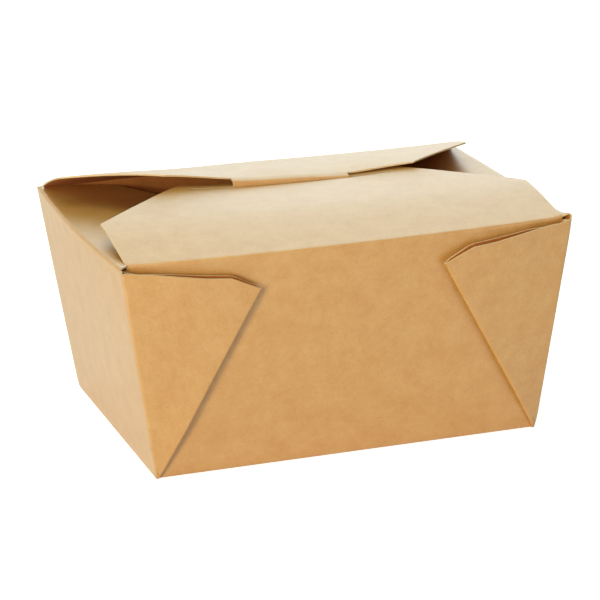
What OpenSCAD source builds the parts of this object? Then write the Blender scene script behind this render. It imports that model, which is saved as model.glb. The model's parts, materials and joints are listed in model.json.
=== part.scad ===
// Takeaway box folded from one sheet of kraft board. It tapers down to its base. Its four corners
// are folded webs laid flat on the long walls, and two long flaps close over two end flaps. The
// back flap lies over the front flap, and its tongue goes down through a slit in it.
// X runs along the long side, the front is -Y, and the box stands on Z = 0.

/* [Box] */
// Width over the end walls at the rim
top_w = 130; // [110:1:160]
// Depth over the long walls at the rim
top_d = 90; // [80:1:110]
// Width over the end walls at the base
base_w = 112; // [96:1:126]
// Depth over the long walls at the base
base_d = 81.5; // [70:0.5:90]
// Height from the base to the rim creases
box_h = 62; // [50:1:80]
// Thickness of the board
board = 0.45; // [0.35:0.05:0.6]
// Radius of a pressed fold, at the middle of the board
fold_r = 0.55; // [0.4:0.05:0.9]

/* [Folded corners] */
// Gap between a long wall and the inner layer of the web
web_inner_gap = 0.25; // [0.15:0.05:0.5]
// Gap between the two layers of the web
web_mouth_gap = 0.35; // [0.2:0.05:0.6]
// Width of the pleat that stays open between a long wall's edge and the end wall
pleat_gap = 1.2; // [0.6:0.1:2]
// How far the web's fold falls short of the exact bisector, in degrees
web_tuck = 1.3; // [0:0.1:3]
// Drop of the web's top edge below the rim at the corner
web_drop = 1.4; // [0.8:0.1:4]
// Fall of the web's top edge from the corner to its chamfer
web_fall = 3.8; // [1:0.1:8]
// Height of the chamfer at the fold's top end
web_chamfer_h = 4; // [2:0.1:8]
// Width of the chamfer at the fold's top end
web_chamfer_w = 8.5; // [4:0.1:14]
// How much taller the inner layer is than the outer one
web_inner_rise = 1; // [0:0.1:2]

/* [Long flaps] */
// Length of a long flap's straight side edge
flap_side = 23.5; // [16:0.5:30]
// Height of the front flap's free edge above the rim
lid_rise = 4.7; // [2:0.1:8]
// How far the front flap turns over from its crease to its free edge, in degrees
flap_bow = 27; // [12:1:36]
// Half the width of the front flap's free edge
front_edge_half = 32.5; // [31:0.5:40]
// Half the width of the back flap's free edge
back_edge_half = 37.5; // [30:0.5:46]
// Gap between the two long flaps where they lap
lap_gap = 0.7; // [0.4:0.1:1.2]
// Running gap between the back wall's edge and the back flap's crease
hinge_gap = 0.3; // [0.2:0.05:0.5]

/* [Lock] */
// Distance of the slit from the middle of the box
lock_y = 4.3; // [2:0.1:8]
// Opening of the slit, held open by the tongue
slit_gap = 1.6; // [1.4:0.1:2.4]
// Length of the slit
slit_len = 61; // [45:1:63]
// Width of the board strip between the slit and the front flap's free edge
strip_w = 3.4; // [2:0.1:5]
// Width of the tongue at its root
tongue_w = 35; // [25:1:42]
// Run of the tongue from its root crease to the slit
tongue_lip = 2.1; // [1.6:0.1:3]
// Clearance of the tongue over the strip
tongue_clear = 0.35; // [0.2:0.05:0.6]
// Length of tongue pushed down through the slit
tongue_drop = 8; // [5:0.5:12]
// Radius of the tongue's two corners
tongue_corner = 5; // [2:0.5:7]

/* [End flaps] */
// Length of an end flap from its crease
end_flap_len = 38; // [24:1:44]
// Angle at which an end flap leaves the rim, below level
end_flap_dip = 3; // [0:1:12]
// How far an end flap curls down along its length, in degrees
end_flap_curl = 27; // [10:1:45]
// Clearance from an end flap's side edge to the long walls
end_flap_clear = 1.6; // [0.8:0.1:4]
// Length of the chamfer on an end flap's corners
end_flap_chamfer = 14; // [6:1:20]

/* [Hidden] */
$fn = 48;

// Angle of one facet of a tight fold and of a gently curled panel
fold_step = 15;
curl_step = 3;
// Height over which the layers come together at the base corner
web_foot = 3;
// Overlap of strips that are the same board on the real box
lap = 2;
// How much a crease thins the board on each face
press = 0.02;
// Reach of a trimming block past everything that it cuts
past = 150;

kraft = [0.83, 0.68, 0.46];
kraft_light = [0.87, 0.75, 0.56];

half_board = board / 2;
side_lean = atan((top_d - base_d) / 2 / box_h);
end_lean = atan((top_w - base_w) / 2 / box_h);
side_slant = box_h / cos(side_lean);
end_slant = box_h / cos(end_lean);
side_flare = atan((top_w - base_w) / 2 / side_slant);
end_flare = atan((top_d - base_d) / 2 / end_slant);

// The web is the sheet's corner between a long wall and an end wall, folded along its bisector
web_half = (90 - side_flare - end_flare) / 2 - web_tuck;
web_fold_lean = web_half - side_flare;
web_stack = web_inner_gap + web_mouth_gap + 2 * board;
inner_mid = web_inner_gap + half_board;
outer_mid = web_stack - half_board;
corner_fold_r = (board + web_inner_gap) / 2;
web_fold_r = (board + web_mouth_gap) / 2;
web_fold_in = web_fold_r + half_board;
// Where a long wall's corner fold begins, measured in from the outside of the end wall
corner_in = board + pleat_gap + corner_fold_r + half_board;

// Middle of the board where it creases along the rim and along the base, in a side or front view
side_rim = [top_d / 2 - half_board / cos(side_lean), box_h];
end_rim = [top_w / 2 - half_board / cos(end_lean), box_h];
side_foot = [base_d / 2 - half_board * (1 / cos(side_lean) - tan(side_lean)), half_board];
end_foot = [base_w / 2 - half_board * (1 / cos(end_lean) - tan(end_lean)), half_board];
base_mid = [0, half_board];
flap_half = top_w / 2 - corner_in;
// How far the end walls' rim folds reach in
rim_in = fold_r + 2 * half_board;

// The front flap is one arc from its crease to the far side of the strip behind the slit
front_span = side_rim[0] + lock_y + slit_gap / 2 + strip_w;
front_rise = atan(lid_rise / front_span) + flap_bow / 2;
front_r = front_span / (sin(front_rise) - sin(front_rise - flap_bow));

// The back flap curves the same way and ends over the strip
back_span = side_rim[0] - lock_y - tongue_lip;
back_bow = flap_bow * back_span / front_span;
root_h = arc_height(front_r, front_rise, 2 * side_rim[0] - back_span) + board + lap_gap;
back_rise = atan(root_h / back_span) + back_bow / 2;
back_r = back_span / (sin(back_rise) - sin(back_rise - back_bow));

// The tongue's leg is an arc about the back crease, so that it swings out through the slit
slit_h = arc_height(front_r, front_rise, side_rim[0] + lock_y);
leg_r = norm([side_rim[0] - lock_y, slit_h]);
leg_top_h = slit_h + board + tongue_clear;
leg_top = [side_rim[0] - sqrt(pow(leg_r, 2) - pow(leg_top_h, 2)), box_h + leg_top_h];
leg_heading = 270 - asin(leg_top_h / leg_r);
leg_turn = tongue_drop * 180 / PI / leg_r;
root = [side_rim[0] - back_span, box_h + root_h];

// Height that an arc has gained where it has covered a level distance
function arc_height(r, rise, level) =
    r * (cos(asin(sin(rise) - level / r)) - cos(rise));

function last_of(list) = list[len(list) - 1];

// Points of an arc that leaves a start point on a heading, without the start point
function arc_from(start, heading, r, turn, step) =
    let (n = ceil(abs(turn) / step), side = sign(turn))
    [for (i = [1:n])
        let (h = heading + turn * i / n)
        start + side * r * [sin(h) - sin(heading), cos(heading) - cos(h)]];

// Points that round the corner b of the path a, b, c
function rounded(a, b, c, r) =
    let (
        u = (b - a) / norm(b - a),
        v = (c - b) / norm(c - b),
        turn = atan2(u[0] * v[1] - u[1] * v[0], u * v),
        start = b - u * r * tan(abs(turn) / 2)
    )
    concat([start], arc_from(start, atan2(u[1], u[0]), r, turn, fold_step));

// Offset to the left of point i of a path, mitred between its two stretches
function side_of(path, i) =
    let (
        n = len(path) - 1,
        a = path[max(i, 1)] - path[max(i, 1) - 1],
        b = path[min(i, n - 1) + 1] - path[min(i, n - 1)],
        u = a / norm(a),
        v = b / norm(b),
        m = (u + v) / norm(u + v)
    )
    [-m[1], m[0]] / (m * u);

// Outline of a board seen edge on, from the path of its middle
function edge_on(path, half = half_board) =
    concat(
        [for (i = [0:len(path) - 1]) path[i] + half * side_of(path, i)],
        [for (i = [len(path) - 1:-1:0]) path[i] - half * side_of(path, i)]
    );

// A symmetric outline from its right half
function both_sides(points) =
    concat(points, [for (i = [len(points) - 1:-1:0]) [-points[i][0], points[i][1]]]);

// The same about the other axis, from its back half
function front_and_back(points) =
    concat(points, [for (i = [len(points) - 1:-1:0]) [points[i][0], -points[i][1]]]);

// The board's path from the middle of the base up a wall, up to and without its rim crease
function wall_path(from, foot, rim) = concat([from], rounded(from, foot, rim, fold_r));

front_path = concat(
    wall_path(base_mid, side_foot, side_rim),
    rounded(side_foot, side_rim, side_rim + [-cos(front_rise), sin(front_rise)], fold_r),
    arc_from(side_rim, 180 - front_rise, front_r, flap_bow, curl_step)
);

back_wall_path = concat(
    wall_path(base_mid, side_foot, side_rim),
    [side_rim - (half_board + hinge_gap) * [sin(side_lean), cos(side_lean)]]
);

end_path = concat(
    wall_path([end_foot[0] - 4 * lap, half_board], end_foot, end_rim),
    rounded(end_foot, end_rim, end_rim + [-cos(end_flap_dip), -sin(end_flap_dip)], fold_r),
    arc_from(end_rim, 180 + end_flap_dip, end_flap_len * 180 / PI / end_flap_curl,
        end_flap_curl, curl_step)
);

tongue_bend = rounded(root, leg_top, leg_top + [cos(leg_heading), sin(leg_heading)], fold_r);

back_flap_path = concat(
    [side_rim],
    arc_from(side_rim, 180 - back_rise, back_r, back_bow, curl_step),
    tongue_bend,
    arc_from(last_of(tongue_bend), leg_heading, leg_r, leg_turn, curl_step)
);

// A solid with a given side view, points as [Y, Z], over a width about the middle
module side_view(points, width) {
    rotate([90, 0, 90])
        linear_extrude(width, center = true) polygon(points);
}

// A solid with a given front view, points as [X, Z], over a depth about the middle
module front_view(points, depth) {
    rotate([90, 0, 0])
        linear_extrude(depth, center = true) polygon(points);
}

// A solid with a given view from above, points as [X, Y]
module top_view(points, low, high) {
    translate([0, 0, low])
        linear_extrude(high - low) polygon(points);
}

// Block between the end walls, drawn in from their outsides by a margin, up to a height
module between_ends(margin, high) {
    grow = (top_w - base_w) / 2 / box_h;
    front_view(
        both_sides([[base_w / 2 - margin, 0], [base_w / 2 - margin + high * grow, high]]),
        past
    );
}

// Everything that belongs to a long wall: below the rim its corner folds limit it
module long_wall_block() {
    split = box_h - half_board;
    between_ends(half_board, web_foot);
    between_ends(corner_in + lap / 2, split);
    children();
}

// Front half of the sheet's long strip: base, front wall and front flap with its slit
module front_strip() {
    y0 = -side_rim[0];
    y1 = front_span - side_rim[0];
    flap = both_sides([
        [flap_half, y0 - lap],
        [flap_half, y0 + flap_side],
        [front_edge_half, y1],
        [front_edge_half, y1 + lap]
    ]);
    difference() {
        intersection() {
            mirror([0, 1, 0]) side_view(edge_on(front_path), past);
            long_wall_block() top_view(flap, box_h - half_board, 2 * box_h);
        }
        translate([-slit_len / 2, lock_y - slit_gap / 2, box_h])
            cube([slit_len, slit_gap, box_h]);
    }
}

// Back half of the long strip, which stops short of the back flap's crease
module back_strip() {
    intersection() {
        side_view(edge_on(back_wall_path), past);
        long_wall_block();
        between_ends(0, box_h);
    }
}

// An end wall with its end flap, on the right
module end_strip() {
    inner = 1.5 * lap;
    stack = web_stack / cos(side_lean) - press;
    wall = both_sides([
        [base_d / 2, 0],
        [base_d / 2 + stack + web_foot * tan(side_lean), web_foot],
        [top_d / 2 + stack, box_h],
        [top_d / 2 + stack, box_h + lap]
    ]);
    flap_y = top_d / 2 - board - end_flap_clear;
    tip_x = end_rim[0] - end_flap_len;
    flap = front_and_back([
        [past, flap_y],
        [tip_x + end_flap_chamfer, flap_y - end_flap_len * tan(side_lean)],
        [tip_x, flap_y - end_flap_chamfer - end_flap_len * tan(side_lean)],
        [tip_x - lap, flap_y - end_flap_chamfer - end_flap_len * tan(side_lean)]
    ]);
    inside = [
        [0, inner],
        [end_foot[0] - inner, inner],
        [end_rim[0] - rim_in, box_h],
        [end_rim[0] - rim_in, box_h + lap],
        [0, box_h + lap]
    ];
    intersection() {
        front_view(edge_on(end_path), past);
        union() {
            difference() {
                side_view(wall, 2 * past);
                front_view(inside, past);
            }
            intersection() {
                front_view(inside, past);
                top_view(flap, inner, box_h + lap);
            }
        }
    }
}

// Places its children on the outside of the front wall: X along the base from the left corner,
// Y up the wall and Z outwards
module on_front_wall() {
    translate([-base_w / 2, -base_d / 2, 0])
        rotate([90 + side_lean, 0, 0])
            children();
}

// A folded strip of board that runs up the wall from the base corner, leaning to the left.
// Path points are [distance to the right of the line, distance outwards]
module fold_up(path, lean, half = half_board) {
    rotate([0, 0, lean])
        rotate([-90, 0, 0])
            linear_extrude(2 * side_slant)
                polygon([for (p = edge_on(path, half)) [p[0], -p[1]]]);
}

// Top edge of a layer of the web, from the corner to past its chamfer, raised by an amount
function web_top(raise) =
    let (
        corner_v = side_slant - web_drop,
        bend_v = corner_v - web_fall,
        tip_v = bend_v - web_chamfer_h,
        tip_u = tip_v * tan(web_fold_lean),
        out = web_chamfer_h / web_chamfer_w
    )
    [
        [tip_u + side_slant, tip_v - side_slant * out],
        [tip_u, tip_v],
        [tip_u - web_chamfer_w, bend_v + raise],
        [-corner_v * tan(side_flare), corner_v],
        [-side_slant, corner_v]
    ];

// The double layer of board at the front left corner
module web() {
    open_foot = [[-side_slant, 0], [2 * side_slant, 0]];
    closed_foot = [[-side_slant, 0], [-web_fold_in / cos(web_fold_lean), 0]];
    inner_top = web_top(web_inner_rise);
    fold_top_v = inner_top[1][1];
    fold_u = fold_top_v * tan(web_fold_lean) - web_fold_in / cos(web_fold_lean);
    closed_top = concat(
        [[fold_u, fold_top_v + web_fold_in * web_chamfer_h / web_chamfer_w]],
        [for (i = [2:4]) inner_top[i]]
    );
    split = web_inner_gap + board + web_mouth_gap / 2;
    // The wall's edge folds back on itself and becomes the inner layer
    corner_path = concat(
        [[corner_in + 2 * lap, -half_board], [corner_in, -half_board]],
        arc_from([corner_in, -half_board], 180, corner_fold_r, -180, fold_step),
        [[side_slant, inner_mid]]
    );
    // The inner layer folds over along the bisector and becomes the outer layer
    web_path = concat(
        [[-4 * lap, inner_mid], [-web_fold_in, inner_mid]],
        arc_from([-web_fold_in, inner_mid], 0, web_fold_r, 180, fold_step),
        [[-side_slant, outer_mid]]
    );
    on_front_wall() {
        intersection() {
            fold_up(corner_path, side_flare, half_board - press);
            union() {
                top_view(concat(open_foot, inner_top), -lap, 0);
                top_view(concat(closed_foot, closed_top), -half_board, 2 * web_stack);
            }
        }
        intersection() {
            fold_up(web_path, -web_fold_lean);
            union() {
                top_view(concat(open_foot, inner_top), -lap, split);
                top_view(concat(open_foot, web_top(0)), split, 2 * web_stack);
            }
        }
    }
}

// The whole folded sheet apart from the back flap
module carton() {
    color(kraft) {
        front_strip();
        back_strip();
        for (side = [0, 1]) {
            mirror([side, 0, 0]) {
                end_strip();
                intersection() {
                    union() {
                        web();
                        mirror([0, 1, 0]) web();
                    }
                    between_ends(press, box_h);
                }
            }
        }
    }
}

// The flap that opens, with its tongue: its root is rounded about the crease
module back_flap() {
    y0 = side_rim[0];
    y1 = root[0];
    flap = both_sides([
        [flap_half, y0 + lap],
        [flap_half, y0 - flap_side],
        [back_edge_half, y1],
        [tongue_w / 2, y1]
    ]);
    color(kraft_light) {
        intersection() {
            side_view(edge_on(back_flap_path), past);
            union() {
                top_view(flap, box_h - lap, 2 * box_h);
                tongue_block();
            }
        }
        translate([-flap_half, y0, box_h])
            rotate([0, 90, 0])
                cylinder(r = half_board, h = 2 * flap_half);
    }
}

// Front view of the tongue, with its two lower corners rounded
module tongue_block() {
    low = last_of(back_flap_path)[1] - half_board;
    half = tongue_w / 2;
    start = [half - tongue_corner, low];
    corner = arc_from(start, 0, tongue_corner, 90, fold_step);
    translate([0, root[0] + lap / 4 - past / 2, 0])
        front_view(both_sides(concat([start], corner, [[half, 2 * box_h]])), past);
}

carton();
back_flap();
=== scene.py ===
# %% [markdown]
# # A kraft takeaway box in Blender
#
# The real object is one sheet of brown kraft board, cut, creased, folded and glued. The eye knows it as a
# paper box by four things: how each panel bends, the small radius of each fold, the pale cut edges, and the
# fibres in the surface.
#
# A solid block with the details carved in would have hard folds and thick edges. We do as the factory does:
# we fold the middle of the board as a thin surface, panel by panel, weld the panels into one sheet, and only
# then give it its thickness. Every point remembers where it was on the flat sheet, so the grain follows the
# folds.

# %% Load the frame
import json
import math

import bmesh
import bpy
import numpy as np
from mathutils import Matrix, Vector


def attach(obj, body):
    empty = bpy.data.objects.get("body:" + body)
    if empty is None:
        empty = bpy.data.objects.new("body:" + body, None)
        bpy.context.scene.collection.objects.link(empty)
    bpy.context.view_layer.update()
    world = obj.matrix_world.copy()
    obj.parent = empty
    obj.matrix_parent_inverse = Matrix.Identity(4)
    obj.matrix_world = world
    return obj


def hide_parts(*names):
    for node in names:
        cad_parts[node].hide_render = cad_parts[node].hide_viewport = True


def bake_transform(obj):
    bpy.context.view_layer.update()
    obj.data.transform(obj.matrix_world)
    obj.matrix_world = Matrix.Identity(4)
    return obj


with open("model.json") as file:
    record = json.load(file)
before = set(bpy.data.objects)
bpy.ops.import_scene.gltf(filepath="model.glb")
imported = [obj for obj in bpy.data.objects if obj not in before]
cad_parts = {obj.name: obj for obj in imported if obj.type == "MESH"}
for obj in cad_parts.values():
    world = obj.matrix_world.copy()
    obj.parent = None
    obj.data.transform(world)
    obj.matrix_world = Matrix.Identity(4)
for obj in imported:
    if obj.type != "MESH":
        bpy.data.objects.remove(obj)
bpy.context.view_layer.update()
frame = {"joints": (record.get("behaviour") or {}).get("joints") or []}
crease_joint = frame["joints"][0]
print("joint:", crease_joint["name"], crease_joint["pos_m"])

# %% [markdown]
# ## The box's sizes
#
# Lengths are in millimetres, as a box maker gives them, and turn into metres only when a mesh is made. The
# walls lean outwards, so a wall's distance from the middle grows with height. A corner is described with
# positive X and Y and then mirrored.

# %% Sizes of the folded box
MM = 0.001
RIM = 62.0            # height of the creases that the flaps turn on
BOARD = 0.45          # thickness of the board
HALF = BOARD / 2
BASE_X, BASE_Y = 56.0, 40.75      # half sizes over the base
END_LEAN = 9.0 / 62.0             # how far an end wall leans out for each mm of height
SIDE_LEAN = 4.25 / 62.0           # the same for a long wall
FOLD = 0.55                       # radius of a pressed fold, at the middle of the board

def end_face(z):
    """Distance of an end wall's outer face from the middle."""
    return BASE_X + END_LEAN * z

def side_face(z):
    """The same for a long wall."""
    return BASE_Y + SIDE_LEAN * z

print("rim over the walls:", round(2 * end_face(RIM), 1), "x", round(2 * side_face(RIM), 1), "mm")

# %% [markdown]
# ## A patch of board
#
# A patch is a grid of points: rows and columns of the board's middle surface. It also holds each point's
# place on the flat sheet, which becomes the UV map, and how much a crease worked it. Faces can be left out,
# which cuts the slit and the notches. A grid is easier than free editing, because each column is a plain
# side view that we can work out.

# %% Patches
class Patch:
    def __init__(self, points, flat, crease, keep=None):
        self.points = np.asarray(points, float)
        self.flat = np.asarray(flat, float)
        self.crease = np.asarray(crease, float)
        rows, columns = self.points.shape[:2]
        self.keep = np.ones((rows - 1, columns - 1), bool) if keep is None else keep

def mirrored(patch, side_x, side_y):
    """The same patch in another quarter of the box."""
    flip = np.array([side_x, side_y, 1.0])
    return Patch(patch.points * flip, patch.flat * flip[:2], patch.crease, patch.keep)

def near_fold(distance, reach=0.7):
    """How much a crease works a point at a distance along the board."""
    return np.exp(-((np.asarray(distance, float) / reach) ** 2))

def two_folds(along, share):
    """A wall is worked by the fold at its foot and the one at the rim."""
    return np.maximum(near_fold(along), near_fold(along - RIM))

def strip(shares, column, place, worked=two_folds):
    """Lays a patch column by column. column gives points and their distances along the board, place gives a
    point's spot on the flat sheet."""
    lines, flat, crease = [], [], []
    for share in shares:
        line, along = column(share)
        lines.append(line)
        flat.append([place(p, d) for p, d in zip(line, along)])
        crease.append(worked(along, share))
    return Patch(np.array(lines).transpose(1, 0, 2), np.array(flat).transpose(1, 0, 2), np.array(crease).T)

print("a crease's mark 0, 0.5 and 1 mm away:", near_fold([0, 0.5, 1]).round(2))

# %% [markdown]
# ## From patches to one sheet
#
# Neighbouring patches share their edge points. Merging all points closer than 0.02 mm turns them into one
# sheet, as the real blank is, and light runs over the folds unbroken.

# %% Weld patches into a mesh
def sheet_mesh(name, patches):
    """Welds patches into one thin mesh, with the flat sheet as its UV map."""
    bm = bmesh.new()
    uv = bm.loops.layers.uv.new("flat_sheet")
    worked = bm.verts.layers.float.new("crease")
    for patch in patches:
        rows, columns = patch.points.shape[:2]
        grid = [[bm.verts.new(patch.points[i, j] * MM) for j in range(columns)] for i in range(rows)]
        for i in range(rows):
            for j in range(columns):
                grid[i][j][worked] = patch.crease[i, j]
        for i, j in zip(*np.nonzero(patch.keep)):
            corners = [(i, j), (i, j + 1), (i + 1, j + 1), (i + 1, j)]
            face = bm.faces.new([grid[a][b] for a, b in corners])
            face.smooth = True
            for loop, (a, b) in zip(face.loops, corners):
                loop[uv].uv = patch.flat[a, b] * MM
    loose = [v for v in bm.verts if not v.link_faces]
    bmesh.ops.delete(bm, geom=loose, context="VERTS")
    bmesh.ops.remove_doubles(bm, verts=bm.verts, dist=0.02 * MM)
    bmesh.ops.recalc_face_normals(bm, faces=bm.faces)
    mesh = bpy.data.meshes.new(name)
    bm.to_mesh(mesh)
    bm.free()
    obj = bpy.data.objects.new(name, mesh)
    bpy.context.scene.collection.objects.link(obj)
    return obj

print("points closer than 0.02 mm are merged")

# %% [markdown]
# ## How the walls are bent out of true
#
# A folded box is never the neat prism of its drawing. In the photograph the front wall's top edge bows out
# in the middle and is pulled in at both ends by the corner folds, and the left end wall bulges a little. A
# cloth simulation could find such shapes, but so few bends are easier to state: one function for each wall
# says how far it stands from the flat drawing, more and more towards the rim.

# %% Bulge of each wall
SWELL = 1.6           # a bulge grows with this power of the height
WALL_END = 62.8       # half width of a long wall, up to its pleats
END_WALL_HALF = 46    # half width of an end wall

def long_wall_bulge(x, z, middle, pull):
    """How far a long wall stands out: by middle at its centre, less pull at its ends, in mm at the rim."""
    out = middle - pull * np.abs(np.asarray(x, float) / WALL_END) ** 2.5
    return out * (np.asarray(z, float) / RIM) ** SWELL

def front_bulge(x, z):
    return long_wall_bulge(x, z, 1.25, np.where(np.asarray(x) < 0, 3.5, 2.6))

def back_bulge(x, z):
    return long_wall_bulge(x, z, 0.5, 1.6)

def end_bulge(y, z, side):
    """How far an end wall stands out: the left one (side -1) more than the right one."""
    out = 1.75 if side < 0 else 0.6
    return out * (1 - (np.asarray(y, float) / END_WALL_HALF) ** 2) * (np.asarray(z, float) / RIM) ** SWELL

print("front crease stands out by", front_bulge([-62, 0, 62], RIM).round(2), "mm")

# %% [markdown]
# ## Rows and folds
#
# Patches weld only where their edge points coincide, so the walls and the corner folds share one list of
# heights, denser near the base and the rim. A crease isn't sharp: board turns over a radius of about its
# own thickness. A bevel could round it later, but an arc drawn now keeps the board's length known.

# %% Shared heights and rounded folds
PLEAT_TOP = 60.9      # the corner's cut edge starts this high, just under the rim
WALL_FOOT = 0.85      # the base fold ends here and the wall begins
steps = np.linspace(0, 1, 25)
heights = WALL_FOOT + (PLEAT_TOP - WALL_FOOT) * (steps - 0.35 * np.sin(2 * np.pi * steps) / (2 * np.pi))

def rounded_path(a, corner, b, radius, count):
    """Points along a rounded corner between two straight stretches, in a side view."""
    a, corner, b = (np.asarray(p, float) for p in (a, corner, b))
    u = (corner - a) / np.linalg.norm(corner - a)
    v = (b - corner) / np.linalg.norm(b - corner)
    turn = math.acos(np.clip(u @ v, -1, 1))
    reach = radius * math.tan(turn / 2)
    inside = (v - u) / np.linalg.norm(v - u)
    centre = corner + inside * radius / math.cos(turn / 2)
    start, end = corner - u * reach, corner + v * reach
    points = []
    for k in range(count + 1):
        w = k / count
        p = (start - centre) * math.sin((1 - w) * turn) + (end - centre) * math.sin(w * turn)
        points.append(centre + p / math.sin(turn))
    return np.array(points)

def base_fold(foot, lean, inward):
    """The fold from the base up into a wall. inward, -1 or 1, is the way to the base's middle."""
    return rounded_path(foot + (3 * inward, 0), foot, foot + np.array([-inward * lean, 1]) * 3, FOLD, 5)

print(len(heights), "heights from", round(heights[0], 2), "to", round(heights[-1], 2), "mm")

# %% [markdown]
# ## The long strip: base, walls and front flap
#
# From the side, the long strip is a single bent line. For each column we work out that line, so the crease
# can wander with the bulge of the wall and the flap can rise more on one side than on the other. The
# columns crowd over the slit's length, so that its two ends fall on columns.

# %% Columns across the long strip
SLIT_HALF = 30.5      # half the length of the slit
columns = np.concatenate([-np.linspace(1, 0.5, 16)[:-1], np.linspace(-0.5, 0.5, 29),
                          np.linspace(0.5, 1, 16)[1:]])
FOOT_X, FOOT_Y = BASE_X - HALF - 0.52, BASE_Y - HALF - 0.52   # the base panel ends where its folds begin

def across(share, half_width):
    """X of a column: the middle half of the columns keeps to the slit, the rest reach to the edge."""
    share = np.asarray(share, float)
    size = np.abs(share)
    inner = size / 0.5 * SLIT_HALF
    outer = SLIT_HALF + (size - 0.5) / 0.5 * (half_width - SLIT_HALF)
    return np.sign(share) * np.where(size <= 0.5, inner, outer)

def pleat_place(z, pull):
    """How far in from the end wall's outer face the long wall turns back: more where it is pulled in."""
    radius = 0.35 + 0.5 * np.maximum(0, pull)
    return np.minimum(1.02 + radius, 0.3 + 0.35 * z)

def wall_edge(z, bulge, side):
    """Half width of a long wall between its two pleats, at a height."""
    pull = -bulge(side * 62.0, z)
    return end_face(z) - pleat_place(z, pull)

print(len(columns), "columns, out to x", round(float(wall_edge(RIM, front_bulge, 1)), 1), "mm at the rim")

# %% [markdown]
# ## The front flap's shape
#
# The front flap is folded in over the end flaps and carries the slit. It leaves the rim at a gentle slope,
# bends softly and ends nearly level, so the closed lid is a shallow roof. The tongue presses it down in the
# middle, which opens the slit at both sides. We give the slope at each distance from the crease and add it
# up: the board then keeps its length, which moving points up and down by hand would not do.

# %% Outline and slope of the front flap
FLAP_LENGTH = 54.0
FLAP_SIDE = 27.0      # length of its straight side edge, before the chamfer
FRONT_EDGE = 32.3     # half width of its free edge
BEND_AT = 24.0        # it bends softly at this distance from its crease
BEND_WIDTH = 5
front_rows = np.array([1.4, 2.2, 4, 6.5, 9, 12, 15, 18, 21, 24, 26, 26.7, 27, 27.3, 28, 29.5, 31.5,
                       34.5, 37.5, 40.5, 43, 45.5, 47.3, 48.4, 49.0, 50.4, 51.2, 52.3, 53.3, 54])
slit_rows = (24, 25)  # the slit is between these two rows

def front_half_width(s, edge):
    """Half width of the front flap at a distance from its crease."""
    return np.interp(s, [0, FLAP_SIDE, FLAP_LENGTH], [edge, edge, FRONT_EDGE])

def line_from_slope(slope, s):
    """Run and rise, at the distances s, of a line whose slope is given."""
    fine = np.linspace(0, float(np.max(s)), 400)
    climb = np.clip(slope(fine), -0.9, 0.9)
    step = fine[1] - fine[0]
    run = np.concatenate([[0], np.cumsum(np.sqrt(1 - climb[1:] ** 2) * step)])
    rise = np.concatenate([[0], np.cumsum(climb[1:] * step)])
    return np.interp(s, fine, run), np.interp(s, fine, rise)

def front_slope(x):
    """Slope of the front flap in its column x: steeper on the left, and pressed down where the tongue is."""
    first = 0.195 - 0.00008 * x
    last = 0.035 - 0.0005 * x - 0.046 * math.exp(-((x / 30) ** 4))
    return lambda s: first + (last - first) / (1 + np.exp((BEND_AT - s) / BEND_WIDTH))

for x in (-32, 0, 32):
    rise = line_from_slope(front_slope(x), [FLAP_LENGTH])[1]
    print("front flap at x", x, "rises", round(float(rise[0]), 1), "mm")

# %% [markdown]
# ## One column of the front strip
#
# Four stretches follow each other: the base fold, the wall, the fold at the rim and the flap. The rim bows
# out with the wall, but the flap's free edge is straight, so the bow fades along the flap.

# %% Build the front strip
def front_column(share):
    """One column's points and their distances along the board from the base fold."""
    side = -1 if share < 0 else 1
    bend = base_fold(np.array([-(BASE_Y - HALF), HALF]), SIDE_LEAN, 1)
    low = [(across(share, FOOT_X), y, z) for y, z in bend]
    wall = []
    for z in heights:
        x = across(share, wall_edge(z, front_bulge, side))
        wall.append((x, -(side_face(z) - HALF + front_bulge(x, z)), z))
    edge = wall_edge(RIM, front_bulge, side)
    x_top = across(share, edge)
    top = np.array([-(side_face(RIM) - HALF + front_bulge(x_top, RIM)), RIM])
    start = math.asin(float(front_slope(x_top)(0.0)))
    over = rounded_path(np.array(wall[-2][1:]), top, top + (math.cos(start), math.sin(start)), FOLD, 7)
    high = [(x_top, y, z) for y, z in over]
    bow = top[0] + (side_face(RIM) - HALF)
    flap = []
    for s in front_rows:
        x = across(share, front_half_width(s, edge))
        forward, up = (float(v[0]) for v in line_from_slope(front_slope(x), [s]))
        flap.append((x, -(side_face(RIM) - HALF) + bow * (1 - s / FLAP_LENGTH) ** 1.5 + forward, RIM + up))
    along = np.concatenate([np.linspace(-0.7, 0.6, len(low)), heights,
                            RIM + np.linspace(-0.5, 0.5, len(high)), RIM + front_rows])
    return low + wall + high + flap, along

front = strip(columns, front_column, lambda p, d: (p[0], -(BASE_Y + d)))
slit = len(front.points) - len(front_rows) + slit_rows[0]
front.keep[slit, np.abs(columns[:-1] + columns[1:]) / 2 < 0.5] = False
slit_y = [round(front.points[-len(front_rows) + row, 30, 1], 2) for row in slit_rows]
print("front strip:", front.points.shape[:2], "rows and columns; slit between y", slit_y)

# %% [markdown]
# ## The back wall
#
# The back wall is the same kind of strip, but it stops just under the rim. The board that runs on from
# there is the back flap, which is a piece of its own because it moves.

# %% Build the back wall
back_wall_rows = list(heights) + [61.2, 61.44]      # it ends just under the flap's crease

def back_column(share):
    bend = base_fold(np.array([BASE_Y - HALF, HALF]), SIDE_LEAN, -1)
    line = [(across(share, FOOT_X), y, z) for y, z in bend]
    for z in back_wall_rows:
        x = across(share, wall_edge(z, back_bulge, -1 if share < 0 else 1))
        line.append((x, side_face(z) - HALF + back_bulge(x, z), z))
    return line, np.concatenate([np.linspace(-0.7, 0.6, len(bend)), back_wall_rows])

back = strip(columns, back_column, lambda p, d: (p[0], BASE_Y + d))
print("back wall:", back.points.shape[:2], "rows and columns")

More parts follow.
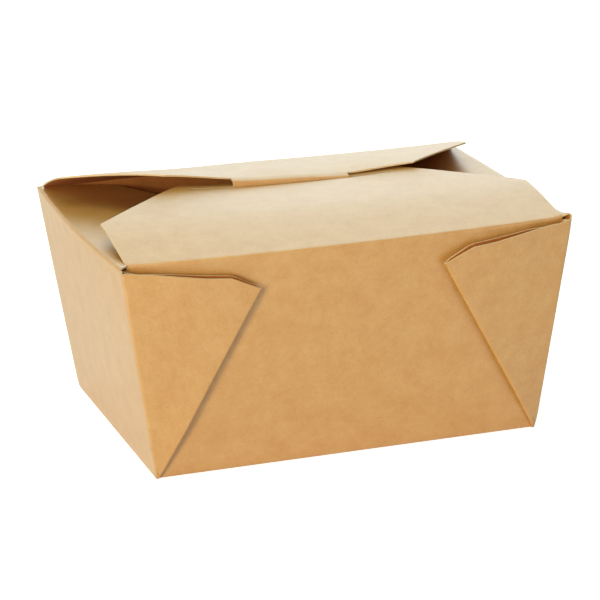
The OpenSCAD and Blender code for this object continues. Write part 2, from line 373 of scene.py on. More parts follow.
# %% [markdown]
# ## The end walls and end flaps
#
# An end wall runs from one upright corner to the other, outside the folded webs. So its width depends on
# how thick the webs are: pressed together at the base, they spring open above it.

# %% Columns of an end strip
LAYER_GAP, MOUTH_GAP = 0.25, 0.35     # gaps under and inside the folded corner
CORNER_R = 0.5                        # radius of the box's upright corner, at the middle of the board
inner_mid = LAYER_GAP + HALF
outer_mid = LAYER_GAP + MOUTH_GAP + 1.5 * BOARD
FLAP_SHARE = 0.97                     # the end flap ends at this column, beside its notch
end_columns = np.concatenate([[-1, -0.975], np.linspace(-0.94, 0.94, 39), [FLAP_SHARE, 1]])

def layers_open(z):
    """The folded layers are pressed together at the base corner and reach their full gaps 4 mm above it."""
    return 0.55 + 0.45 * np.minimum(1, np.asarray(z, float) / 4)

def end_half_depth(z):
    """Half depth of an end wall between its two upright corners, at a height."""
    return side_face(z) + outer_mid * layers_open(z) - CORNER_R

print("end wall's depth at the rim:", round(2 * float(end_half_depth(RIM)), 1), "mm")

# %% [markdown]
# ## How an end flap lies
#
# An end flap is folded in before the long flaps. In the photograph the left one lies almost level and
# catches the light; the right one is hidden and may hang lower. Beside it the sheet has a small notch, so
# that it can pass the long walls. A flap that turns over evenly is an arc, so two angles describe it.

# %% Shape of an end flap
end_flap_rows = np.array([1.2, 2.4, 4.5, 7, 10, 13.5, 17, 20.5, 24, 27, 30.5, 34.5, 38])
NOTCH_ROWS = 4        # rows of the rim fold that the notch cuts into

def arc_line(s, start, turn_per_mm):
    """Forward run and height along a line that starts at an angle and turns over evenly, in degrees."""
    s = np.asarray(s, float)
    a0, k = math.radians(start), math.radians(turn_per_mm)
    a1 = a0 - k * s
    return (np.sin(a0) - np.sin(a1)) / k, (np.cos(a1) - np.cos(a0)) / k

def end_flap_half(s, share):
    """Half width of an end flap at a distance from its crease."""
    # the front edge clears the pulled-in front wall, the back edge lies close to the back crease
    reach = [43.9, 42.2, 40.9, 39.5, 27] if share < 0 else [45.1, 44.6, 43.7, 42.5, 30]
    return np.interp(s, [0, 1.2, 3.0, 6, 24, 38], [FLAP_SHARE * end_half_depth(RIM)] + reach)

print("an end flap's tip is", end_flap_half(38, 1) + end_flap_half(38, -1), "mm wide")

# %% Build the end walls with their flaps
def end_column(share, side):
    dip, curl = (0.7, 0.3) if side < 0 else (7.0, 0.5)      # degrees below level, and degrees for each mm
    bend = base_fold(np.array([BASE_X - HALF, HALF]), END_LEAN, -1)
    line = [(x, share * FOOT_Y, z) for x, z in bend]
    for z in heights:
        y = share * end_half_depth(z)
        line.append((end_face(z) - HALF + end_bulge(y, z, side), y, z))
    y_top = share * end_half_depth(RIM)
    top = np.array([end_face(RIM) - HALF + end_bulge(y_top, RIM, side), RIM])
    start = math.radians(-dip)
    over = rounded_path(np.array([line[-2][0], line[-2][2]]), top,
                        top + (-math.cos(start), math.sin(start)), FOLD, 6)
    line += [(x, y_top, z) for x, z in over]
    for s, forward, up in zip(end_flap_rows, *arc_line(end_flap_rows, -dip, curl)):
        line.append((top[0] - forward, share / FLAP_SHARE * end_flap_half(s, share), RIM + up))
    return line, np.concatenate([np.linspace(-0.7, 0.6, len(bend)), heights,
                                 RIM + np.linspace(-0.5, 0.5, len(over)), RIM + end_flap_rows])

def end_strip(side):
    patch = strip(end_columns, lambda share: end_column(share, side), lambda p, d: (BASE_X + d, p[1]))
    middle = (end_columns[:-1] + end_columns[1:]) / 2
    notch = len(patch.points) - len(end_flap_rows) - NOTCH_ROWS
    patch.keep[notch:, (middle < -0.975) | (middle > FLAP_SHARE)] = False
    return mirrored(patch, side, 1)

ends = [end_strip(-1), end_strip(1)]
for name, patch in zip(("left", "right"), ends):
    print(name, "end flap's tip at", patch.points[-1, 20].round(1))

# %% [markdown]
# ## The base
#
# The base is one plain panel. It stands on its four folds, so its middle clears the table by a tenth of a
# millimetre. Its edge points are those of the walls' base folds, so that the patches meet.

# %% Build the base
def base_panel():
    x = np.array([across(share, FOOT_X) for share in columns])
    y = end_columns * FOOT_Y
    xx, yy = np.meshgrid(x, y)
    lifted = 0.12 * (1 - (xx / FOOT_X) ** 2) * (1 - (yy / FOOT_Y) ** 2)
    points = np.stack([xx, yy, HALF + lifted], axis=-1)
    return Patch(points, np.stack([xx, yy], axis=-1), np.zeros_like(xx))

base = base_panel()
print("base panel:", round(2 * FOOT_X, 1), "x", round(2 * FOOT_Y, 1), "mm")

# %% [markdown]
# ## The folded corners
#
# Between a long wall and an end wall the sheet has a spare corner, a web. It is folded in half along its
# bisector and laid flat on the long wall, so the corner has no seam that could leak. Each of its two layers
# has a cut edge of its own at the top, which we give as a list: distance in from the rim's corner, height.

# %% Outline of the web's cut edges
FOLD_TOP = 53.3       # height at which the slanting fold meets the cut edges
FOLD_TIP = 0.72       # how far the slanting fold's outside stands beyond the ends of the layers
INNER_START, OUTER_START = 2.4, 0.72      # where each layer begins, in from the end wall's outer face
outer_edge = np.array([(-12, 61.0), (-8, 61.0), (0, 60.0), (14, 57.7), (21, 57.0), (29.5, 53.0), (45, 45.7)])
inner_edge = np.array([(-12, 60.7), (-4, 60.2), (4, 59.4), (14, 58.1), (21.5, 57.4), (29.5, 53.2), (45, 43.6)])

def slant_fold_reach(z):
    """Distance of the slanting fold's outside from the end wall's outer face, at a height."""
    return 0.5 + 36.6 / 53 * z

def cut_height(edge, share, start):
    """Height at which a layer's column meets the cut edge. share runs from the corner to the slanting fold."""
    z = 57.0
    for _ in range(40):       # the column leans, so its place and its height are found together
        reach = start + (slant_fold_reach(z) - FOLD_TIP - start) * share
        z = float(np.interp(reach - END_LEAN * z, edge[:, 0], edge[:, 1]))
    return z

print("outer layer's cut edge:", [round(cut_height(outer_edge, t, OUTER_START), 1) for t in (0, 0.5, 1)], "mm")

# %% [markdown]
# ## A walk round the corner
#
# At one height, a walk round the corner leaves the long wall, turns back on itself at the pleat, runs out
# as the inner layer, turns back again at the slanting fold, returns as the outer layer and goes round the
# upright corner to the end wall. That walk is one row of the patch, so all the folds come out in one piece.
# Separate flat plates would be easier, but the folds between them are what the eye looks for. Board springs:
# the slanting fold stands 1.5 mm off the wall and throws a thin shadow, and the two layers part towards
# their cut edges.

# %% One point of the walk
FOLD_STAND = 1.5      # how far the slanting fold springs off the wall, above its lowest 15 mm

def corner_walk(z, share_to_top, side_x, bulge, part, t):
    """X and Y at a height: which part of the walk, and how far along that part."""
    opened = layers_open(z)
    place = float(pleat_place(z, -float(bulge(side_x * 62.0, z))))
    x0 = end_face(z) - place
    wall = side_face(z) - HALF + float(bulge(side_x * x0, z))
    inner0 = side_face(z) + inner_mid * opened
    outer0 = side_face(z) + outer_mid * opened
    reach = slant_fold_reach(z)
    tip = min(FOLD_TIP, 0.5 * reach)
    xf = end_face(z) - reach + tip
    lift = float(bulge(side_x * xf, z)) + 0.15 + FOLD_STAND * min(1.0, z / 15)
    mouth = share_to_top**6
    half_turn = math.radians(-90 + 180 * t)
    if part == "pleat":
        return x0 + min((inner0 - wall) / 2, place - 0.28) * math.cos(half_turn), \
            (wall + inner0) / 2 + (inner0 - wall) / 2 * math.sin(half_turn)
    if part == "inner":
        return x0 + (xf - x0) * t, inner0 + lift * t - 0.25 * mouth * math.sin(math.pi * t)
    if part == "slant":
        low, high = inner0 + lift, outer0 + lift
        return xf - (tip - HALF) * math.cos(half_turn), \
            (low + high) / 2 + (high - low) / 2 * math.sin(half_turn)
    corner_x = end_face(z) - HALF - CORNER_R
    if part == "outer":
        return xf + (corner_x - xf) * t, outer0 + lift * (1 - t) + 0.75 * mouth * math.sin(math.pi * t) ** 1.5
    quarter_turn = math.radians(90 * t)
    return corner_x + CORNER_R * math.sin(quarter_turn), outer0 - CORNER_R + CORNER_R * math.cos(quarter_turn)

half_way = corner_walk(31.0, 0.5, 1, front_bulge, "slant", 0.5)
print("half way up, the slanting fold is at", [round(v, 1) for v in half_way])

# %% [markdown]
# ## Where each column of a web ends
#
# Every column of the walk has its own top, on the cut edge of its layer. In the photograph the right front
# web stands about 1 mm higher than the left one, so it is raised. At the foot the web is tucked in and
# lifted a little, which rounds the bottom corner instead of leaving a spike.

# %% Tops and feet of the columns
WALK_POINTS = {"pleat": 10, "inner": 22, "slant": 11, "outer": 24, "round": 6}
walk = [(part, t) for part, count in WALK_POINTS.items()
        for t in np.linspace(0, 1, count)[0 if part == "pleat" else 1:]]

def column_tops(raised):
    tops = []
    for part, t in walk:
        top = {"pleat": PLEAT_TOP, "slant": FOLD_TOP, "round": PLEAT_TOP}.get(part)
        if part == "inner":
            top = cut_height(inner_edge, t, INNER_START)
        if part == "outer":
            top = cut_height(outer_edge, 1 - t, OUTER_START)
        if raised:
            top += {"slant": 0.95, "inner": 1.05 * min(1, 4 * t),
                    "outer": 0.95 * min(1, 8 * (1 - t))}.get(part, 0)
        tops.append(top)
    last_inner = [i for i, (part, t) in enumerate(walk) if part == "slant"][0] - 1
    tops[last_inner] = tops[last_inner + 1]
    return tops

def tucked(x, y, z, part, t):
    """Rounds the bottom corner: below 1.5 mm the web draws in and up, but not where it joins the walls."""
    tuck = {"pleat": t, "round": 1 - t}.get(part, 1) * (1 - min(z / 1.5, 1)) ** 2
    return x - tuck, y - tuck, z + 0.6 * tuck

print(len(walk), "points in a walk; the lowest top is at", round(min(column_tops(False)), 1), "mm")

# %% [markdown]
# ## Build the four corners
#
# The walks make one grid, which is cut in two at the slanting fold for the grain's sake: the inner half has
# the long wall's place on the flat sheet, the outer half the end wall's. The slanting fold is pressed flat
# on itself, so it counts as worked twice as hard as the others.

# %% Build one folded corner
def folded_corner(side_x, side_y):
    bulge = front_bulge if side_y < 0 else back_bulge
    tops = column_tops(side_x > 0 > side_y)
    rows = np.concatenate([[0.12, 0.4], heights])
    points = np.zeros((len(rows), len(walk), 3))
    for i, h in enumerate(rows):
        for j, (part, t) in enumerate(walk):
            z = h * tops[j] / PLEAT_TOP
            x, y = corner_walk(z, h / PLEAT_TOP, side_x, bulge, part, t)
            if part == "round" and t == 1:
                x += float(end_bulge(y, z, side_x))
            points[i, j] = tucked(x, y, z, part, t)
    length = np.zeros(points.shape[:2])
    length[:, 1:] = np.cumsum(np.linalg.norm(np.diff(points[..., :2], axis=1), axis=2), axis=1)
    middle = [i for i, (part, t) in enumerate(walk) if part == "slant" and abs(t - 0.5) < 0.01][0]
    pleat = [i for i, (part, t) in enumerate(walk) if part == "pleat"][5]
    corner = len(walk) - 3
    worked = np.maximum.reduce([hard * near_fold(length - length[:, k:k + 1])
                                for k, hard in ((pleat, 1), (middle, 2), (corner, 1))])
    inner_flat = np.stack([points[:, :1, 0] + length, BASE_Y + points[..., 2]], axis=-1)
    outer_flat = np.stack([BASE_X + points[..., 2], points[:, -1:, 1] + length[:, -1:] - length], axis=-1)
    inner = Patch(points[:, :middle + 1], inner_flat[:, :middle + 1], worked[:, :middle + 1])
    outer = Patch(points[:, middle:], outer_flat[:, middle:], worked[:, middle:])
    return [mirrored(inner, side_x, side_y), mirrored(outer, side_x, side_y)]

corners = [patch for sx in (-1, 1) for sy in (-1, 1) for patch in folded_corner(sx, sy)]
print(len(corners), "corner patches of", corners[0].points.shape[:2], "and", corners[1].points.shape[:2])

# %% [markdown]
# ## Weld the carton
#
# In the photograph the layers of board that meet at the front right corner push its rim up by almost 2 mm.
# All patches near the corner are lifted by one smooth bump, so they still meet.

# %% Puff the corner and weld
PUFF = 1.9            # mm
PUFF_X, PUFF_Y = (65.2, 2.4), (-46.8, 5.5)    # its centre and its reach

def puff_corner(patch):
    """Lifts the front right corner's rim a little, where the folded layers push it up."""
    x, y, z = patch.points[..., 0], patch.points[..., 1], patch.points[..., 2]
    near = np.exp(-((x - PUFF_X[0]) / PUFF_X[1]) ** 2 - ((y - PUFF_Y[0]) / PUFF_Y[1]) ** 2)
    patch.points[..., 2] = z + PUFF * near * np.clip((z - 54) / 8, 0, 1) ** 2

for patch in [front] + ends + corners:
    puff_corner(patch)
carton = sheet_mesh("carton_board", [front, back, base] + ends + corners)
print("carton sheet:", len(carton.data.vertices), "points,", len(carton.data.polygons), "faces")

# %% [markdown]
# ## The back flap's shape
#
# The back flap is folded last. In the photograph its middle is held down by the tongue, while both free
# corners spring up, the left one most. Two numbers for each column say so: the slope at the crease and the
# height at the free edge. They are given at a few knots and joined by a soft curve, because board can't kink
# sideways.

# %% Shape of the back flap
BACK_LENGTH = 39.0
BACK_SIDE = 23.8      # length of its side edge, before the chamfer
BACK_EDGE = 37.5      # half width of its free edge
knots = np.array([-62, -50, -37.5, -27, -18, -8, 0, 8, 17, 27, 37.5, 50, 62.0])
slope_at_crease = np.array([0.44, 0.42, 0.395, 0.38, 0.38, 0.385, 0.375, 0.355, 0.335, 0.32, 0.31, 0.33, 0.37])
rise_at_edge = np.array([11.5, 11.2, 10.2, 8.5, 6.9, 6.2, 6.0, 5.5, 4.8, 5.7, 6.6, 7.2, 8.2])
spread = np.linspace(-75, 75, 601)
kernel = np.exp(-np.linspace(-2.5, 2.5, 101) ** 2)

def smooth_curve(values):
    """A soft curve near the knots: straight lines between them, blurred over about 5 mm."""
    straight = np.pad(np.interp(spread, knots, values), 50, mode="edge")
    return np.convolve(straight, kernel / kernel.sum(), mode="valid")

slope_curve, rise_curve = smooth_curve(slope_at_crease), smooth_curve(rise_at_edge)

def back_line(x, s):
    """Run and rise of the back flap in its column x at distances s from the crease, and its first angle."""
    a = float(np.interp(x, spread, slope_curve))
    b = (float(np.interp(x, spread, rise_curve)) - a * BACK_LENGTH) / BACK_LENGTH**2
    run, rise = line_from_slope(lambda d: a + 2 * b * d, s)
    return run, rise, math.asin(a)

for x in (-62, -37.5, 0, 17, 37.5, 62):
    s = BACK_SIDE if abs(x) > 40 else BACK_LENGTH
    print("back flap at x", x, "rises", round(float(back_line(x, [s])[1][0]), 1), "mm")

# %% [markdown]
# ## The tongue
#
# The tongue runs on from the middle of the flap's free edge: a short lip over the slit, then a leg down
# through it. A straight leg would look the same closed, but it would cut the front flap on its way out, so
# the leg follows a circle about the back crease. Its two lower corners are rounded.

# %% Shape of the tongue
TONGUE_HALF = 17.5
TONGUE_SHARE = 0.4    # share of the flap's columns that the tongue takes
LIP = 2.0             # run of the tongue before it turns down
LIP_FALL = math.radians(13)
DROP = 8.0            # length of tongue under the front flap
TONGUE_CORNER = 5.0
hinge_y, hinge_z = crease_joint["pos_m"][1] / MM, crease_joint["pos_m"][2] / MM
LIP_POINTS = 7        # points round the bend from the lip into the leg
leg_rows = np.array([0.5, 1.2, 2.2, 3.4, 4.6, 5.6, 6.4, 7.0, 7.5, DROP])

def back_across(share, half_width):
    """X of a column: the middle columns keep to the tongue, the rest reach to the flap's edge."""
    size = abs(share)
    x = size / TONGUE_SHARE * TONGUE_HALF if size <= TONGUE_SHARE else \
        TONGUE_HALF + (size - TONGUE_SHARE) / (1 - TONGUE_SHARE) * (half_width - TONGUE_HALF)
    return math.copysign(x, share)

def tongue_points(root, share, x_root, edge):
    """The lip's soft bend and the leg, from the flap's free edge on."""
    bend_at = root + LIP * np.array([-math.cos(LIP_FALL), -math.sin(LIP_FALL)])
    radius = math.hypot(hinge_y - bend_at[0], bend_at[1] - hinge_z)
    angle = math.asin((bend_at[1] - hinge_z) / radius)
    down = np.array([-math.sin(angle), -math.cos(angle)])
    points = [(x_root, y, z) for y, z in rounded_path(root, bend_at, bend_at + down * 3, 0.6, LIP_POINTS - 1)]
    for d in leg_rows:
        turn = angle - (d + 0.4) / radius
        left = min(DROP - d, TONGUE_CORNER)
        inset = TONGUE_CORNER - math.sqrt(max(0.0, TONGUE_CORNER**2 - (TONGUE_CORNER - left) ** 2))
        x = share / TONGUE_SHARE * (TONGUE_HALF - inset) if abs(share) <= TONGUE_SHARE else \
            back_across(share, edge)
        points.append((x, hinge_y - radius * math.cos(turn), hinge_z + radius * math.sin(turn)))
    return points

print("tongue:", 2 * TONGUE_HALF, "mm wide, turning about y", round(hinge_y, 1), "z", round(hinge_z, 1))

# %% [markdown]
# ## Build the back flap
#
# The flap is one more strip of columns. It starts half a millimetre under the crease, where the back wall
# ends. Past the free edge only the tongue's columns are kept.

# %% Build the back flap
back_rows = np.array([1.2, 2.4, 4.2, 6.5, 9, 12, 15, 18, 20.5, 22.5, 23.8, 24.6, 26, 28, 30.5, 33, 35,
                      36.8, 38, 38.6, 39.0])
outer_shares = np.linspace(1, TONGUE_SHARE, 22)
back_columns = np.concatenate([-outer_shares[:-1], np.linspace(-TONGUE_SHARE, TONGUE_SHARE, 25),
                               np.linspace(TONGUE_SHARE, 1, 22)[1:]])
FLAP_FOOT = 61.46     # height at which the flap's sheet begins

def back_flap_column(share):
    """One column's points and their distances along the board from the crease."""
    side = -1 if share < 0 else 1
    edge = wall_edge(RIM, back_bulge, side)
    x_top = back_across(share, edge)
    top = np.array([side_face(RIM) - HALF + back_bulge(x_top, RIM), RIM])
    below = np.array([side_face(FLAP_FOOT) - HALF + back_bulge(x_top, FLAP_FOOT), FLAP_FOOT])
    start = back_line(x_top, back_rows)[2]
    bend = rounded_path(below - (top - below), top, top + (-math.cos(start), math.sin(start)), FOLD, 7)
    line = [(x_top, below[0], below[1])] + [(x_top, y, z) for y, z in bend]
    fold_along = np.linspace(-0.6, 0.5, len(line))
    # the right side edge runs in a little, the left one stands out beside the crease
    sides = [edge, edge, edge - 3.0] if side > 0 else [edge, edge + 1.2, edge + 0.6]
    for s in back_rows:
        x = back_across(share, float(np.interp(s, [0, 3, BACK_SIDE, BACK_LENGTH], sides + [BACK_EDGE])))
        run, rise, _ = back_line(x, np.array([s]))
        line.append((x, top[0] - float(run[0]), RIM + float(rise[0])))
    line += tongue_points(np.array(line[-1][1:]), share, line[-1][0], edge)
    bend_along = BACK_LENGTH + np.linspace(LIP - 0.5, LIP + 0.5, LIP_POINTS)
    return line, np.concatenate([fold_along, back_rows, bend_along, BACK_LENGTH + LIP + 0.4 + leg_rows])

def worked_flap(along, share):
    """The flap is worked at its crease, at the leg's bend and, in the tongue's columns, at the lip's root."""
    root = 0.8 * near_fold(along - BACK_LENGTH) * (abs(share) <= TONGUE_SHARE + 0.02)
    return np.maximum.reduce([near_fold(along), near_fold(along - BACK_LENGTH - LIP), root])

sheet = strip(back_columns, back_flap_column, lambda p, d: (p[0], BASE_Y + RIM + d), worked_flap)
beside = np.abs(back_columns[:-1] + back_columns[1:]) / 2 > TONGUE_SHARE
sheet.keep[-(LIP_POINTS + len(leg_rows)):, beside] = False
flap = sheet_mesh("back_flap_board", [sheet])
print("back flap sheet:", len(flap.data.vertices), "points")

# %% [markdown]
# ## Thickness
#
# The sheets are still infinitely thin. Solidify adds the board's 0.45 mm, half on each side of the middle,
# with one material slot for the outer face, one for the cut edge and one for the inner face. The result is
# kept as a plain mesh. Edges that turn by more than 40 degrees are marked sharp, because smooth shading
# across the cut would draw a dark band along every panel. The folds turn in small steps, so they stay smooth.

# %% Give the sheets their thickness
for obj in (carton, flap):
    for _ in range(3):
        obj.data.materials.append(None)       # slots for the face, the cut edge and the inner face
    solid = obj.modifiers.new("board_thickness", "SOLIDIFY")
    solid.thickness = BOARD * MM
    solid.offset = 0.0
    solid.use_even_offset = False
    solid.use_quality_normals = True
    solid.material_offset_rim = 1
    solid.material_offset = 2
    thick = bpy.data.meshes.new_from_object(obj.evaluated_get(bpy.context.evaluated_depsgraph_get()))
    thick.name = obj.name
    obj.modifiers.clear()
    obj.data = thick
    thick.set_sharp_from_angle(angle=math.radians(40))
    print(obj.name, "is", BOARD, "mm thick now, with", len(thick.polygons), "faces")

# %% [markdown]
# ## Materials
#
# Kraft board is unbleached wood pulp, dried as a running web. The fibres lie every way, with a slight lead
# along the machine's run, so the surface has a cloudy mottle, a fine crossing grain and faint streaks. A
# picture of paper would give that too, but it blurs close up and repeats, so we use noise. The patterns use
# the flat-sheet UV map, whose unit is a metre: a feature of d millimetres needs a scale of 1000 / d.

# %% Helpers for colours and nodes
def linear(hex_colour, alpha=1.0):
    """An sRGB hex colour such as "C89A5F" as linear values for a shader."""
    values = [int(hex_colour[i:i + 2], 16) / 255 for i in (0, 2, 4)]
    return (*[v / 12.92 if v <= 0.04045 else ((v + 0.055) / 1.055) ** 2.4 for v in values], alpha)

def add(owner, kind, inputs=None, **settings):
    """Adds a node to a material or world, sets its properties, and fills or links its inputs."""
    tree = owner.node_tree
    made = tree.nodes.new(kind)
    for name, value in settings.items():
        setattr(made, name, value)
    for name, value in (inputs or {}).items():
        if isinstance(value, bpy.types.NodeSocket):
            tree.links.new(value, made.inputs[name])
        else:
            made.inputs[name].default_value = value
    return made

def new_material(name):
    material = bpy.data.materials.new(name)
    material.use_nodes = True
    material.node_tree.nodes.clear()
    return material

print("the pale kraft as linear:", [round(v, 3) for v in linear("D1A362")[:3]])

# %% [markdown]
# ### Kraft board, calendered outside and plain inside
#
# Rollers press the outer face fairly smooth. From the front it looks matt, but at a grazing angle it mirrors
# the bright room, so the lid looks paler than the front although the pulp is the same. A paler colour could
# not do that, so the face gets a broad gloss. Where the board is folded flat on itself, the skin breaks and
# the gloss goes. The inner face was never pressed: it is rougher and hardly glossy. Its darker, redder colour
# is partly its own and partly painted shade, so that the shaded underside of the back flap and the mouths of
# the folded corners come out deep brown.

# %% Kraft board, outer and inner face
def kraft_board(name, dark, light, roughness, gloss):
    m = new_material(name)
    place = add(m, "ShaderNodeUVMap", uv_map="flat_sheet").outputs["UV"]
    # cloudy formation of the pulp: flecks from 7 mm down to a fraction of a millimetre
    mottle = add(m, "ShaderNodeTexNoise", {"Vector": place, "Scale": 1000 / 7, "Detail": 6.0,
                                           "Roughness": 0.78}).outputs["Fac"]
    # two sets of crossing fibre bundles, 0.75 mm long; single fibres of 0.03 mm would not show, so these are
    # drawn 0.3 mm wide
    crossing = []
    for turn in (0.9, -0.7):
        turned = add(m, "ShaderNodeMapping", {"Vector": place, "Rotation": (0, 0, turn),
                                              "Scale": (0.4, 1.0, 1.0)}).outputs["Vector"]
        crossing.append(add(m, "ShaderNodeTexNoise", {"Vector": turned, "Scale": 1000 / 0.3, "Detail": 1.0,
                                                      "Distortion": 0.6}).outputs["Fac"])
    # faint streaks along the run of the machine, 1.6 mm wide and 60 mm long
    drawn = add(m, "ShaderNodeMapping", {"Vector": place, "Scale": (1.6 / 60, 1.0, 1.0)}).outputs["Vector"]
    streaks = add(m, "ShaderNodeTexNoise", {"Vector": drawn, "Scale": 1000 / 1.6, "Detail": 2.0}).outputs["Fac"]
    # shives, the dark specks of uncooked wood: the rare peaks of a 0.6 mm noise
    grit = add(m, "ShaderNodeTexNoise", {"Vector": place, "Scale": 1000 / 0.6, "Detail": 0.0}).outputs["Fac"]
    shives = add(m, "ShaderNodeMapRange", {"Value": grit, "From Min": 0.78, "From Max": 0.84, "To Max": -0.4})
    # the weights say how much each pattern shows beside the mottle
    tone = mottle
    for pattern, weight in ((crossing[0], 0.3), (crossing[1], 0.3), (streaks, 0.08),
                            (shives.outputs["Result"], 1.0)):
        tone = add(m, "ShaderNodeMath", {0: pattern, 1: weight, 2: tone}, operation="MULTIPLY_ADD").outputs[0]
    level = add(m, "ShaderNodeMapRange", {"Value": tone, "From Min": 0.45, "From Max": 1.2}).outputs["Result"]
    # inputs 6 and 7 of a Mix node are its two colours
    colour = add(m, "ShaderNodeMix", {"Factor": level, 6: linear(dark), 7: linear(light)},
                 data_type="RGBA").outputs[2]
    relief = add(m, "ShaderNodeMath", {0: crossing[0], 1: crossing[1]}, operation="ADD").outputs[0]
    bump = add(m, "ShaderNodeBump", {"Height": relief, "Strength": 0.3,
                                     "Distance": 0.02 * MM}).outputs["Normal"]
    # only the slanting folds are worked above 1, so only they lose the gloss
    crease = add(m, "ShaderNodeAttribute", attribute_name="crease").outputs["Fac"]
    shine = add(m, "ShaderNodeMapRange", {"Value": crease, "From Min": 1.0, "From Max": 2.0, "To Min": gloss,
                                          "To Max": 0.1 * gloss}).outputs["Result"]
    face = add(m, "ShaderNodeBsdfPrincipled", {"Base Color": colour, "Normal": bump, "Roughness": roughness,
                                               "Specular IOR Level": shine, "IOR": 1.6})
    add(m, "ShaderNodeOutputMaterial", {"Surface": face.outputs["BSDF"]})
    return m

kraft = kraft_board("kraft_board_calendered", "B97B20", "D1A362", 0.4, 0.85)
# the inner face's dark, red colours are partly the board's own and partly painted shade for the lid's shaded
# underside
inner_kraft_with_painted_shade = kraft_board("kraft_board_inner_face_painted_shade", "A05821", "C07936", 0.8, 0.3)
print("materials:", kraft.name, "and", inner_kraft_with_painted_shade.name, "with", len(kraft.node_tree.nodes), "nodes each")

# %% [markdown]
# ### Cut edge
#
# A steel rule chops the board and opens its core. The core is rougher than the face and looks paler, so
# every free edge of the real box is drawn by a thin light line. The pattern sits in the object's own
# space here, because the flat sheet gives an edge no width.

# %% Cut edge of the board
def cut_board():
    m = new_material("kraft_board_cut_edge")
    place = add(m, "ShaderNodeTexCoord").outputs["Object"]
    # torn fibre ends, 0.35 mm
    fray = add(m, "ShaderNodeTexNoise", {"Vector": place, "Scale": 1000 / 0.35, "Detail": 3.0}).outputs["Fac"]
    colour = add(m, "ShaderNodeMix", {"Factor": fray, 6: linear("CDA574"), 7: linear("EBD0A4")},
                 data_type="RGBA").outputs[2]
    bump = add(m, "ShaderNodeBump", {"Height": fray, "Strength": 0.6, "Distance": 0.04 * MM}).outputs["Normal"]
    face = add(m, "ShaderNodeBsdfPrincipled", {"Base Color": colour, "Normal": bump, "Roughness": 0.85,
                                               "Specular IOR Level": 0.3})
    add(m, "ShaderNodeOutputMaterial", {"Surface": face.outputs["BSDF"]})
    return m

cut_edge = cut_board()
for obj in (carton, flap):
    for slot, material in enumerate((kraft, cut_edge, inner_kraft_with_painted_shade)):
        obj.data.materials[slot] = material
print("slots:", [m.name for m in carton.data.materials])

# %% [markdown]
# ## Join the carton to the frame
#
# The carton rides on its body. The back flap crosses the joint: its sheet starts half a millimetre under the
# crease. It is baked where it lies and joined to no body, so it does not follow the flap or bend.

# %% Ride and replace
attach(carton, "carton")
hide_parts("carton")
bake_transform(flap)
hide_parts("back_flap")

# %% [markdown]
# ## Floor and room
#
# The photograph is a catalogue cut-out on pure white. Here a real floor catches a faint contact shadow. Lamps
# bright enough to whiten it would bleach the kraft, so what the camera sees of floor and room glows by
# itself. The smooth board mirrors that white too, but the room throws very little light on the box.

# %% Floor
FLOOR_RADIUS = 3.0
bm = bmesh.new()
bmesh.ops.create_circle(bm, cap_ends=True, segments=96, radius=FLOOR_RADIUS)
floor_mesh = bpy.data.meshes.new("floor")
bm.to_mesh(floor_mesh)
bm.free()
floor = bpy.data.objects.new("floor", floor_mesh)
bpy.context.scene.collection.objects.link(floor)

def seen_rays(owner):
    """1 for what the camera sees directly, in a reflection or through glass, and 0 for other light."""
    path = add(owner, "ShaderNodeLightPath")
    seen = add(owner, "ShaderNodeMath", {0: path.outputs["Is Camera Ray"], 1: path.outputs["Is Glossy Ray"]},
               operation="ADD").outputs[0]
    return add(owner, "ShaderNodeMath", {0: seen, 1: path.outputs["Is Transmission Ray"]}, operation="ADD",
               use_clamp=True).outputs[0]

def studio_floor():
    m = new_material("studio_floor_white")
    glow = add(m, "ShaderNodeMath", {0: seen_rays(m), 1: 0.72}, operation="MULTIPLY").outputs[0]
    matt = add(m, "ShaderNodeBsdfDiffuse", {"Color": linear("E6E6E6")}).outputs[0]
    light = add(m, "ShaderNodeEmission", {"Color": (1, 1, 1, 1), "Strength": glow}).outputs[0]
    both = add(m, "ShaderNodeAddShader", {0: matt, 1: light}).outputs[0]
    add(m, "ShaderNodeOutputMaterial", {"Surface": both})
    return m

floor.data.materials.append(studio_floor())
print("floor radius", FLOOR_RADIUS, "m")

# %% World
ROOM_LIGHT = 0.06
world = bpy.data.worlds.new("white_studio")
world.use_nodes = True
world.node_tree.nodes.clear()
seen = seen_rays(world)
room = add(world, "ShaderNodeBackground", {"Color": (1, 1, 1, 1), "Strength": ROOM_LIGHT}).outputs[0]
white = add(world, "ShaderNodeBackground", {"Color": (1, 1, 1, 1), "Strength": 1.0}).outputs[0]
mixed = add(world, "ShaderNodeMixShader", {"Fac": seen, 1: room, 2: white}).outputs[0]
add(world, "ShaderNodeOutputWorld", {"Surface": mixed})
bpy.context.scene.world = world
print("room light", ROOM_LIGHT, "and white where the camera looks")

# %% [markdown]
# ### Soft boxes
#
# One big lamp would be simpler, but each side of the box in the photograph has a light of its own. A small
# low key far to the left skims along the front and draws a thin shadow beside the left slanting fold. A
# second key and a weak warm fill keep the front's colour rich. The lamps on the left, above and behind are
# cooler and make the lid and the left wall paler. The mix was solved from renders of each lamp alone.

# %% Soft boxes
def soft_box(name, place, aim_height, size, watts, tint):
    """An area lamp that looks at the middle of the box, at a height."""
    lamp = bpy.data.lights.new(name, "AREA")
    lamp.shape = "RECTANGLE"
    lamp.size, lamp.size_y = size
    lamp.energy = watts
    lamp.color = tint
    obj = bpy.data.objects.new(name, lamp)
    obj.location = place
    obj.rotation_euler = (Vector((0, 0, aim_height)) - Vector(place)).to_track_quat("-Z", "Y").to_euler()
    bpy.context.scene.collection.objects.link(obj)

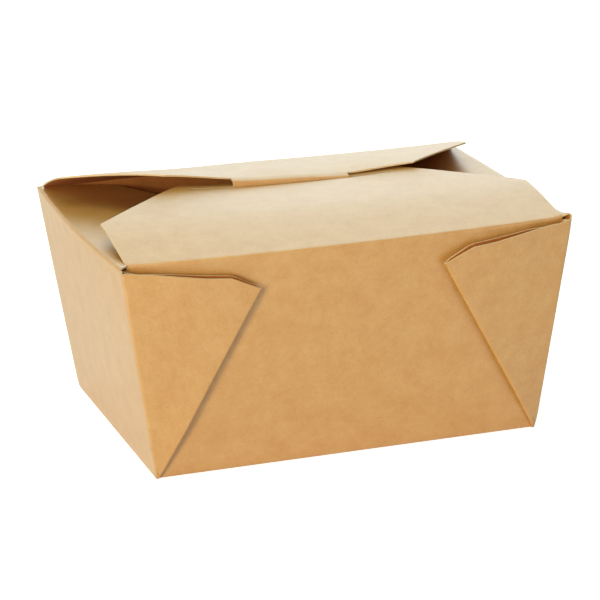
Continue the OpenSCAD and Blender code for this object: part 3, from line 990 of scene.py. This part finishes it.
lamps = [
    ("soft_box_key", (-0.9, -0.87, 0.2), 0.03, (0.26, 0.26), 6.1, (1.0, 1.0, 0.89)),
    ("soft_box_near_key", (-0.52, -0.7, 0.35), 0.03, (0.36, 0.26), 3.1, (1.0, 0.87, 0.72)),
    ("soft_box_fill", (0.55, -1.0, 0.14), 0.03, (0.5, 0.24), 0.8, (1.0, 0.8, 0.55)),
    ("soft_box_left", (-0.85, 0.05, 0.72), 0.06, (0.7, 0.5), 2.5, (0.62, 1.0, 0.92)),
    ("soft_box_back_low", (0.7, 0.92, 0.42), 0.06, (1.2, 0.6), 4.2, (0.78, 0.97, 1.0)),
    ("soft_box_back_high", (0.3, 0.9, 0.9), 0.06, (0.9, 0.6), 3.2, (0.78, 0.99, 0.88)),
    ("soft_box_top", (-0.05, -0.05, 1.1), 0.06, (1.0, 1.0), 4.2, (0.93, 0.96, 0.72)),
]
for lamp in lamps:
    soft_box(*lamp)
print(len(lamps), "soft boxes,", round(sum(lamp[4] for lamp in lamps), 1), "W in all")

# %% [markdown]
# ### Camera
#
# The camera was fitted to the box's corners in the photograph: a long lens 0.83 m away at the front left,
# looking 17.6 degrees down.

# %% Camera
yaw, pitch, roll = 0.324114227, 0.306538523, -0.018780578
forward = Vector((math.sin(yaw) * math.cos(pitch), math.cos(yaw) * math.cos(pitch), -math.sin(pitch)))
right = Vector((math.cos(yaw), -math.sin(yaw), 0.0))
up = right.cross(forward)
right, up = right * math.cos(roll) + up * math.sin(roll), up * math.cos(roll) - right * math.sin(roll)
lens = bpy.data.cameras.new("photo_camera")
lens.sensor_width = 36.0
lens.lens = 2859.833 / 600 * 36.0      # the fit gave the focal length in pixels of a 600 px wide picture
lens.clip_start, lens.clip_end = 0.01, 20.0
camera = bpy.data.objects.new("photo_camera", lens)
camera.matrix_world = Matrix((right, up, -forward)).transposed().to_4x4()
camera.location = Vector((-250.0573, -744.9578, 281.3716)) * MM
bpy.context.scene.collection.objects.link(camera)
bpy.context.scene.camera = camera
print("lens", round(lens.lens, 1), "mm, camera at", [round(v, 3) for v in camera.location])

# %% [markdown]
# ## Finish
#
# The colours were chosen as they should render, so the view transform is Standard, which changes nothing.

# %% Finish
bpy.context.scene.view_settings.view_transform = "Standard"
